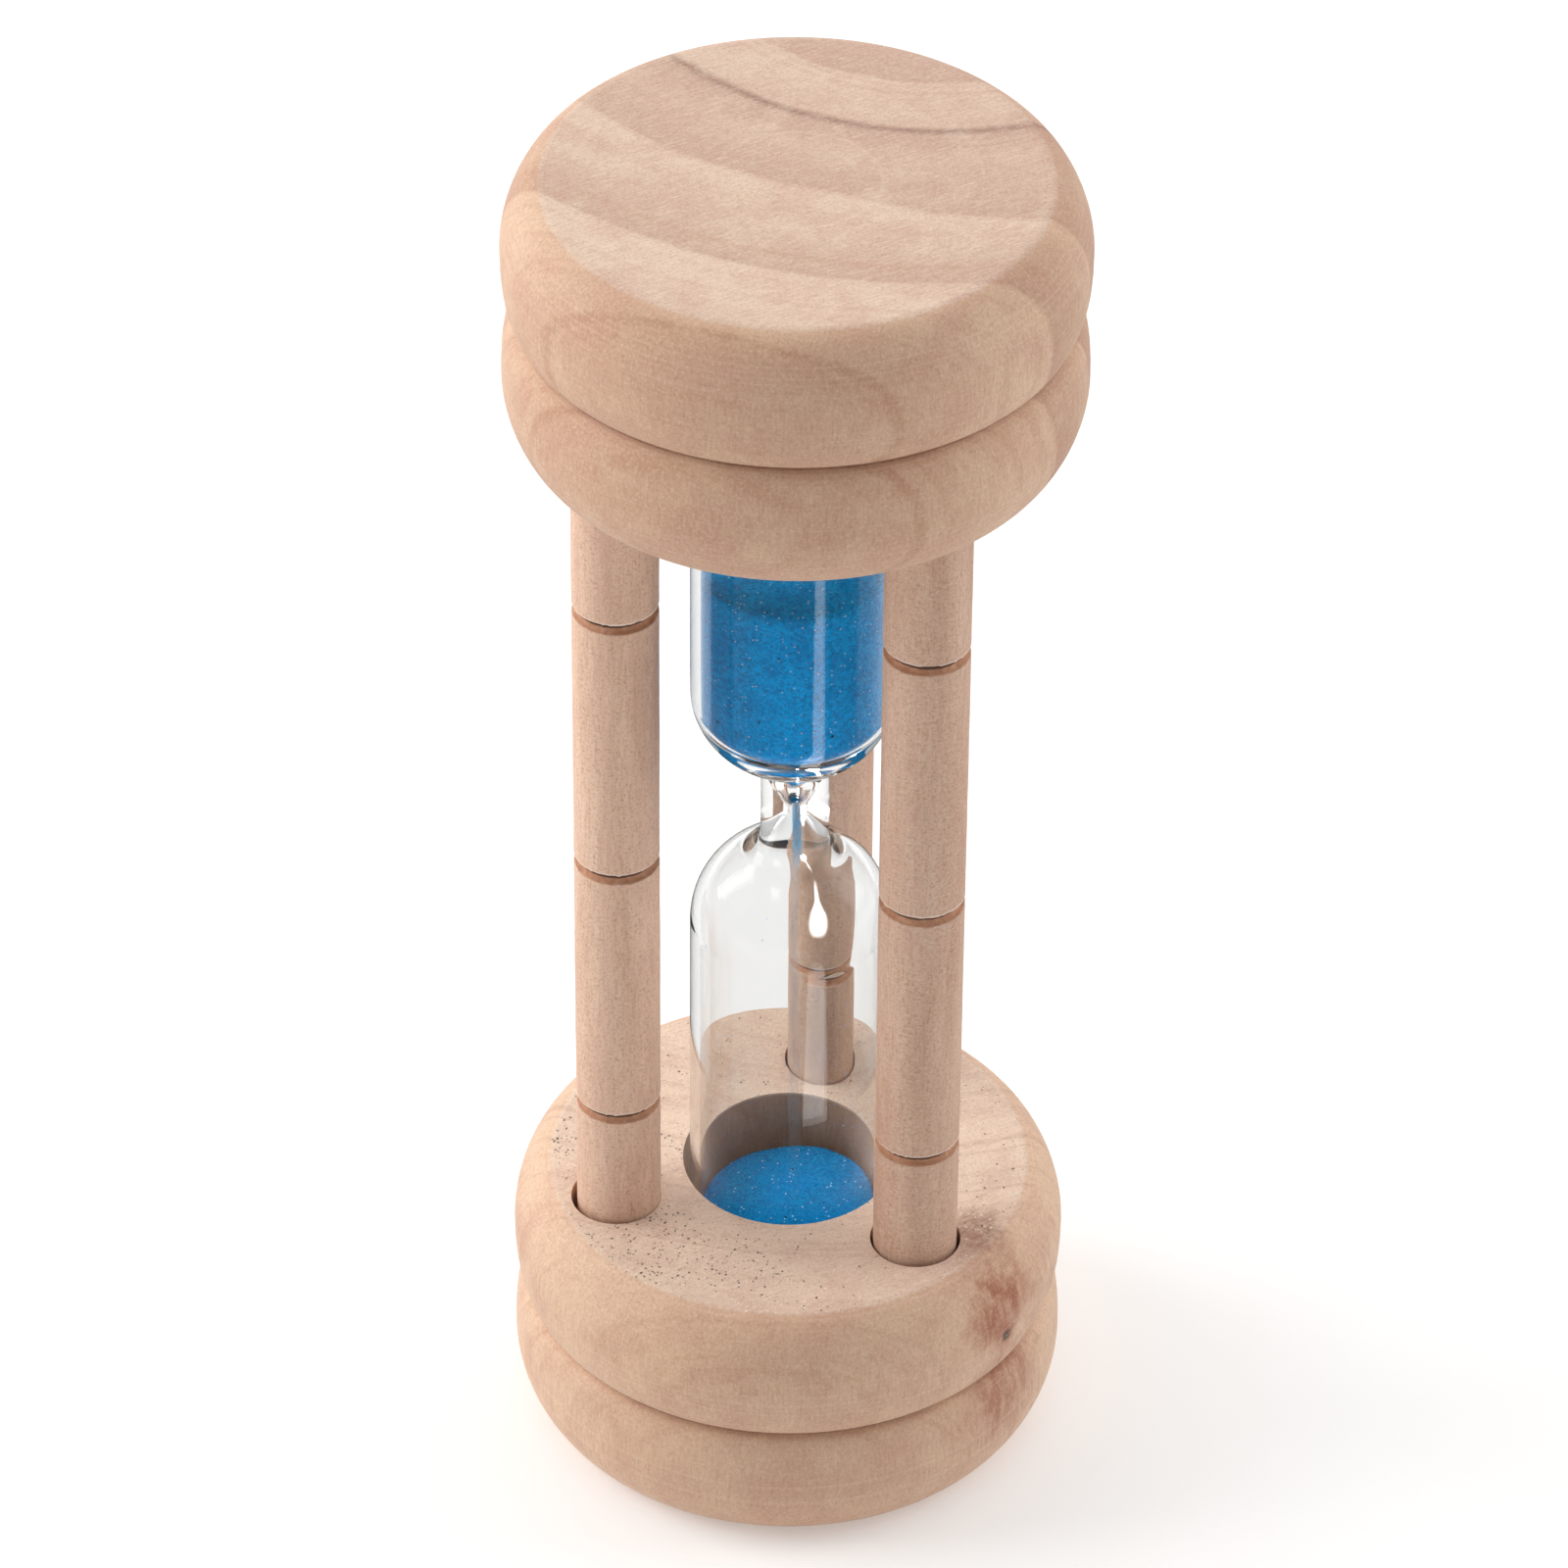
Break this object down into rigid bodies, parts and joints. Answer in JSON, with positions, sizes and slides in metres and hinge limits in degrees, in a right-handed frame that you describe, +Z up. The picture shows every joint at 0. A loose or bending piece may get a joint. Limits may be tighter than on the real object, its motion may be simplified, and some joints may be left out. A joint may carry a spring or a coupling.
{
  "type": "hourglass",
  "caption": "Small wooden sand timer: two round beaded end caps, grooved dowel posts and a clear waisted glass vial of blue sand.",
  "frame": {"origin": "centre of the base cap's underside", "axes": "+Z up along the caps' axis, +Y towards the rear post; the view from -Y has one post at each side in front"},
  "size_m": [0.0395, 0.0394, 0.1048],
  "materials": {
    "cap_wood": "bare sanded hardwood, matt",
    "post_wood": "bare dowel, matt, fine vertical grain",
    "clear_glass": "clear, polished",
    "blue_sand": "fine dyed sand, matt with sparkling grains",
    "felt_pad": "thin felt"
  },
  "bodies": {
    "frame": {"base_cap": "cap_wood", "top_cap": "cap_wood", "post_left": "post_wood", "post_right": "post_wood", "post_rear": "post_wood", "lower_seat_pad": "felt_pad", "upper_seat_pad": "felt_pad"},
    "vial": {"glass_vial": "clear_glass", "sand_stream": "blue_sand"},
    "upper_level": {"sand_upper": "blue_sand"},
    "lower_level": {"sand_lower": "blue_sand"}
  },
  "joints": [
    {"name": "vial_turn", "type": "hinge", "parent": "frame", "child": "vial", "pos_m": [0, 0, 0.05285], "axis": [0, 0, 1], "continuous": true},
    {"name": "upper_level_fall", "type": "slide", "parent": "vial", "child": "upper_level", "axis": [0, 0, -1], "range_m": [-0.0022, 0.006], "deforming": ["sand_upper"]},
    {"name": "lower_level_rise", "type": "slide", "parent": "vial", "child": "lower_level", "axis": [0, 0, 1], "range_m": [-0.0022, 0.006], "deforming": ["sand_lower"]}
  ],
  "couplings": [
    {"joint": "lower_level_rise", "follows": "upper_level_fall", "ratio": 1}
  ]
}
